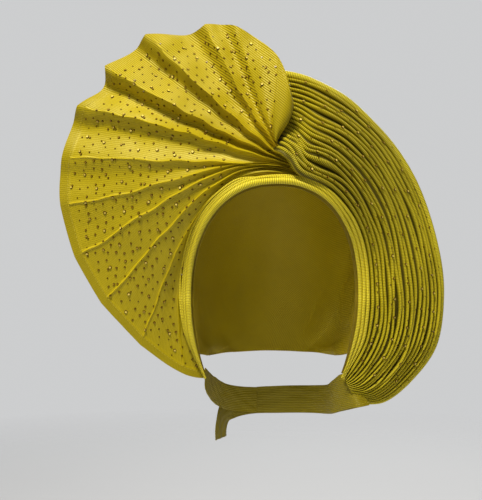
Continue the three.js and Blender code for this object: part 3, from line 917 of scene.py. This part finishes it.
def wing_rails():
    along = wing_run
    section = np.linalg.norm(wing_base(along, np.ones_like(along)) - wing_base(along, np.zeros_like(along)), axis=-1)
    spacing = section * 1.03 / WING_FOLD_STEPS
    calm = smoothstep(along, 0.0, 0.12) * (1 - smoothstep(along, 0.84, 0.97))
    restless = mix(0.6, 1.0, smoothstep(along, 0.2, 0.4) * (1 - smoothstep(along, 0.72, 0.88)))
    flatten = mix(1.0, 0.5, smoothstep(along, 0.84, 1.0))
    paths, radii, facings = [], [], []
    for k in range(WING_FOLDS):
        part = wander(100 + k, 5, 6, 40, along) * 0.24
        drift = wander(40, 5, 3, 16, along, np.full_like(along, k * 0.16)) * 0.27
        shy = min(1.0, 0.3 + 0.3 * min(k, WING_FOLDS - 1 - k))
        last = k == WING_FOLDS - 1
        centre = k + (WING_RIM_FOLD / 2 if last else 0.5) + (part + drift) * calm * shy * restless
        swell = 1 + 0.12 * wander(200 + k, 4, 8, 40, along) * calm
        for fold, middle, length, extra in WING_SWELLS:
            here = bump_at(along, middle, length)
            swell = swell + extra * here * (k == fold)
            if k != fold:
                centre = centre + 0.8 * extra * here * np.sign(k - fold) * 0.6 ** (abs(k - fold) - 1) * (k > 0)
        across = centre / WING_FOLD_STEPS
        facing = wing_facing(along, across)
        half = spacing * WING_FOLD_HALF * swell * (WING_RIM_FOLD if last else 1)
        rise = spacing * (-0.25 + 0.16 * wander(300 + k, 4, 6, 30, along) * calm) * flatten
        path = wing_base(along, across) + facing * rise[:, None]
        path[:, 1] += knot_dive(along, k)
        paths.append(path)
        radii.append(half * flatten ** 0.5)
        facings.append(facing)
    return np.array(paths), np.array(radii), np.array(facings)


rail_paths, rail_radii, rail_facings = wing_rails()
wing_folds = swept("wing_folds", rail_paths[:-1], rail_radii[:-1], rail_facings[:-1],
    depth_ratio=WING_DEPTH_RATIO, sides=18, slant=0.5, material=WING_CLOTH)
wing_rim_roll = swept("wing_rim_roll", rail_paths[-1:], rail_radii[-1:] * WING_RIM_SWELL, rail_facings[-1:],
    depth_ratio=1.1, sides=24, slant=0.5, material=RIM_PAINTED_LIGHT_CLOTH)
wing_along, wing_across = np.meshgrid(wing_run[::2], np.linspace(0, 1, WING_FOLDS * 4 + 1), indexing="ij")
wing_face = wing_facing(wing_along, wing_across)
wing_wave = np.abs(np.sin(math.pi * WING_FOLDS * wing_across)) ** 0.8
wing_front = wing_base(wing_along, wing_across) + wing_face * (wing_wave * 1.2 - 0.6)[..., None]
wing_front[..., 1] += knot_dive(wing_along, wing_across * WING_FOLD_STEPS)
wing_back = wing_front - wing_face * WING_WALL
# The front is darkened by its cloth: painted shade in the slots between the folds
wing_backing = woven_wall("wing_backing", wing_front, wing_back, BACKING_CLOTH, FOLD_CORD_PITCH, 0,
    {"painted_shade": (np.ones_like(wing_along), np.zeros_like(wing_along))})


def crest_strips():
    """Narrow strips along the crests of the wing's folds."""
    start, end = np.searchsorted(wing_run, WING_STONES_RUN)
    for k in range(1, WING_FOLDS - 1):
        top = rail_paths[k] + rail_facings[k] * (rail_radii[k] * WING_DEPTH_RATIO)[:, None]
        side = unit(np.cross(np.gradient(rail_paths[k], axis=0), rail_facings[k])) * 0.5
        yield np.stack([top - side, top + side], 1)[start:end]


wing_large_stones = set_stones("wing_large_stones", crest_strips(), spacing=0.0175, radius=0.0013, seed=3,
    material=LARGE_STONES)
wing_small_stones = set_stones("wing_small_stones", crest_strips(), spacing=0.0135, radius=0.0007, seed=8,
    material=SMALL_STONES, facets=6)


# The band: three rolls round the face edge, and two small folds beside them, over an under layer of cloth
# coloured dark as painted shade under the rolls

# For each roll, on the wearer's left and from the brow round to the right: out, radius, forward
BAND_ROLLS = (
    ((0.17, 0.185, 0.4), (0.38, 0.42, 0.6)),
    ((0.51, 0.17, 0.1), (0.84, 0.15, 0.0)),
    ((0.84, 0.165, -0.3), (0.97, 0.11, -0.6)),
)
# Two small folds of the fan's margin beside the band, from the gather down: out, radius, back
MARGIN_FOLDS = ((1.16, 0.15, 0.2), (1.46, 0.14, 0.7))
MARGIN_FROM, MARGIN_TO = 97, 204


def facing_viewer(path):
    """The way square to a path that looks most at the viewer."""
    ahead = unit(np.gradient(path, axis=0))
    viewer = np.broadcast_to(np.array([0.0, -1.0, 0.0]), ahead.shape)
    return unit(viewer - ahead * (viewer * ahead).sum(-1, keepdims=True))


band_deg = np.linspace(BAND_FROM, BAND_TO, 240)
band_turn = smoothstep(band_deg, 45, 100)
band_paths, band_radii = [], []
for number, (left, right) in enumerate(BAND_ROLLS):
    out, radius, forward = (mix(a, b, band_turn) for a, b in zip(left, right))
    loose = wander(500 + number, 4, 3, 11, np.radians(band_deg) * 2)
    band_paths.append(by_edge(band_deg, out + 0.025 * loose, -1.8 - forward + 0.15 * loose))
    band_radii.append(radius * band_width(band_deg) * (1 + 0.05 * loose))
for number, (out, radius, back) in enumerate(MARGIN_FOLDS):
    deg = np.linspace(MARGIN_FROM, MARGIN_TO, len(band_deg))
    loose = wander(520 + number, 4, 3, 11, np.radians(deg) * 2)
    ends = smoothstep(deg, MARGIN_FROM, 112) * (1 - smoothstep(deg, 180, MARGIN_TO))
    band_paths.append(by_edge(deg, mix(1.02, out, ends) + 0.03 * loose, back + 0.2 * loose))
    band_radii.append(mix(0.06, radius, ends) * band_width(deg))
band_facings = np.array([facing_viewer(path) for path in band_paths])
band_folds = swept("band_folds", np.array(band_paths), np.array(band_radii), band_facings,
    depth_ratio=1.05, sides=24, slant=0.6, material=BAND_PAINTED_LIGHT_CLOTH)
backing_deg, backing_out = np.meshgrid(band_deg[2:-2], np.linspace(-0.22, 0.98, 12), indexing="ij")
band_backing_front = by_edge(backing_deg, backing_out, 0.2)
band_backing_back = by_edge(backing_deg, backing_out, BAND_BACK + 2.4)
band_backing = woven_wall("band_backing", band_backing_front, band_backing_back, BAND_BACKING_SHADE_CLOTH,
    FOLD_CORD_PITCH, 0)


# The crown: a plain sheet drawn over the head, with soft drags towards the nape

crown_share, crown_across = np.meshgrid(np.linspace(0, 1, 90), np.linspace(0, 1, 150), indexing="ij")
crown_drag = wander(61, 5, 9, 30, crown_across * 1.6, crown_share * 0.4)
crown_drag = np.sign(crown_drag) * np.abs(crown_drag) ** 0.7
crown_sink = 0.7 - 1.1 * (crown_drag + 0.8) * smoothstep(crown_share, 0.03, 0.35)
crown_sink -= 0.4 * smoothstep(crown_share, 0.945, 0.955)
crown_front = crown_point(crown_across, crown_share, crown_sink)
crown_back = crown_point(crown_across, crown_share, crown_sink + CROWN_WALL)
crown_sheet = woven_wall("crown_sheet", crown_front, crown_back, CROWN_CLOTH, CORD_PITCH, 1)
nape_row = np.searchsorted(crown_share[:, 0], 0.965)
nape_facing = unit(crown_front - crown_back)[nape_row]
crown_hem_stitches = stitched("crown_hem_stitches", crown_front[nape_row][None], nape_facing[None])


# The ties: flat strips round the neck

def tie_surface(table, rows, columns):
    index = np.linspace(0, len(table) - 1, rows)
    turn, radius, middle_z, width, roll, flare = rows_at(table, index).T
    turn, roll = np.radians(turn), np.radians(roll)
    zero = np.zeros(rows)
    outward = np.stack([np.cos(turn), np.sin(turn), zero], -1)
    level = np.stack([-np.sin(turn), np.cos(turn), zero], -1)
    upright = np.stack([zero, zero, width], -1) - outward * flare[:, None]
    span = upright * np.cos(roll)[:, None] + level * (width * np.sin(roll))[:, None]
    middle = np.stack([zero, np.full(rows, NECK_AXIS_Y), middle_z], -1) + outward * radius[:, None]
    across = np.linspace(-0.5, 0.5, columns)
    p = middle[:, None] + span[:, None] * across[None, :, None]
    long_share, across_share = np.meshgrid(np.linspace(0, 1, rows), across, indexing="ij")
    crease = wander(70 + rows, 5, 5, 17, long_share * 3, across_share * 1.2) * 0.35
    return p + outward[:, None] * crease[..., None], outward[:, None]


def tie_strip(name, table, rows, columns):
    """A strip and the stitches along its edges."""
    middle, outward = tie_surface(table, rows, columns)
    front, back = middle + outward * TIE_THICK / 2, middle - outward * TIE_THICK / 2
    strip = woven_wall(name + "_strip", front, back, TIE_PAINTED_SHADE_CLOTH, CORD_PITCH, 1)
    seams = np.stack([front[:, 2], front[:, -3]])
    facing = np.broadcast_to(outward[:, 0], seams.shape)
    return strip, stitched(name + "_stitches", seams, facing)


wing_tie_strip, wing_tie_stitches = tie_strip("wing_tie", WING_TIE, 140, 24)
fan_tie_strip, fan_tie_stitches = tie_strip("fan_tie", FAN_TIE, 80, 22)


# Floor, light and camera, in metres

FLOOR_Z, FLOOR_MIDDLE, FLOOR_RADIUS = -0.42, 0.0005, 1.9
FLOOR_FADE_FROM, FLOOR_FADE_TO = 0.75, 1.85
FLOOR_COLOUR = (0.74, 0.74, 0.73)
SENSOR_WIDTH, PHOTO_FOCAL, PHOTO_HEIGHT = 36, 929, 500  # millimetres, then pixels of the photograph
CAMERA_PLACE = (-0.0306, -0.860, 0.033)
AMBIENT, SURROUND = 0.11, 0.62  # what the world gives as light, and how pale it looks


def pale_floor():
    """A round floor of pale paper that fades into the surround."""
    finish = Finish("pale paper")
    cloudy = finish.blend(finish.noise(3.0, 2.0), opaque(FLOOR_COLOUR, 0.97), opaque(FLOOR_COLOUR))
    away = finish.add("ShaderNodeVectorMath", {"operation": "LENGTH"}, i0=finish.place).outputs["Value"]
    fade = finish.scaled(away, FLOOR_FADE_FROM, FLOOR_FADE_TO, 1.0, 0.0)
    finish.wear(Base_Color=cloudy, Roughness=0.9, Alpha=fade)
    rings, turns = np.linspace(FLOOR_MIDDLE, FLOOR_RADIUS, 20), np.linspace(0, 2 * math.pi, 49)
    points = np.array([[(r * math.cos(t), r * math.sin(t), FLOOR_Z) for t in turns] for r in rings])
    floor = new_object("pale_floor", points.reshape(-1, 3) / MM, grid_faces(*points.shape[:2]), finish.material)


def soft_light(name, place, aim, size, power, colour=(1, 1, 1)):
    lamp = bpy.data.lights.new(name, "AREA")
    lamp.shape = "DISK"
    lamp.size = size
    lamp.energy = power
    lamp.color = colour
    thing = linked(name, lamp)
    thing.location = place
    thing.rotation_euler = (Vector(aim) - Vector(place)).to_track_quat("-Z", "Y").to_euler()


pale_floor()
soft_light("overhead softbox", (-0.25, -0.84, 1.24), (0, -0.02, 0.05), 0.3, 26.5, (1.0, 0.98, 0.95))
soft_light("front fill", (-0.4, -1.9, 0.5), (0, 0, 0), 1.4, 3.2, (1.0, 0.99, 0.97))
soft_light("rear fill", (0.5, 1.7, 1.1), (0, 0, 0), 1.2, 22)

world = bpy.data.worlds.new("studio")
world.use_nodes = True
sky = Wiring(world.node_tree)
ambient = sky.nodes["Background"]
ambient.inputs[0].default_value = (0.93, 0.95, 1.0, 1)
ambient.inputs[1].default_value = AMBIENT
surround = sky.out("ShaderNodeBackground", None, i0=(0.98, 0.99, 1.0, 1), i1=SURROUND)
seen = sky.add("ShaderNodeLightPath").outputs["Is Camera Ray"]
either = sky.out("ShaderNodeMixShader", None, i0=seen, i1=ambient.outputs[0], i2=surround)
sky.put(either, sky.nodes["World Output"].inputs[0])
bpy.context.scene.world = world
bpy.context.scene.view_settings.view_transform = "Standard"

lens = bpy.data.cameras.new("front camera")
lens.sensor_width = SENSOR_WIDTH
lens.lens = SENSOR_WIDTH * PHOTO_FOCAL / PHOTO_HEIGHT
camera = linked("front camera", lens)
camera.location = CAMERA_PLACE
camera.rotation_euler = (math.pi / 2, 0, 0)
bpy.context.scene.camera = camera


# What each piece stands for

PIECES = (
    (fan_sheet, "fan_cloth", "fan"),
    (knot_tuck, "fan_cloth", None),
    (wing_backing, "wing_cloth", "wing"),
    (wing_folds, "wing_cloth", None),
    (wing_rim_roll, "wing_cloth", None),
    (band_folds, "band_cloth", "face_band"),
    (band_backing, "band_cloth", None),
    (crown_sheet, "crown_cloth", "crown"),
    (wing_tie_strip, "tie_cloth", "wing_tie"),
    (fan_tie_strip, "tie_cloth", "fan_tie"),
    (fan_large_stones, None, None),
    (fan_small_stones, None, None),
    (wing_large_stones, None, None),
    (wing_small_stones, None, None),
    (fan_hem_stitches, "fan_cloth", None),
    (crown_hem_stitches, "crown_cloth", None),
    (wing_tie_stitches, "tie_cloth", None),
    (fan_tie_stitches, "tie_cloth", None),
)
for piece, slot, node in PIECES:
    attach(piece, "root")
    if node:
        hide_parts(node)
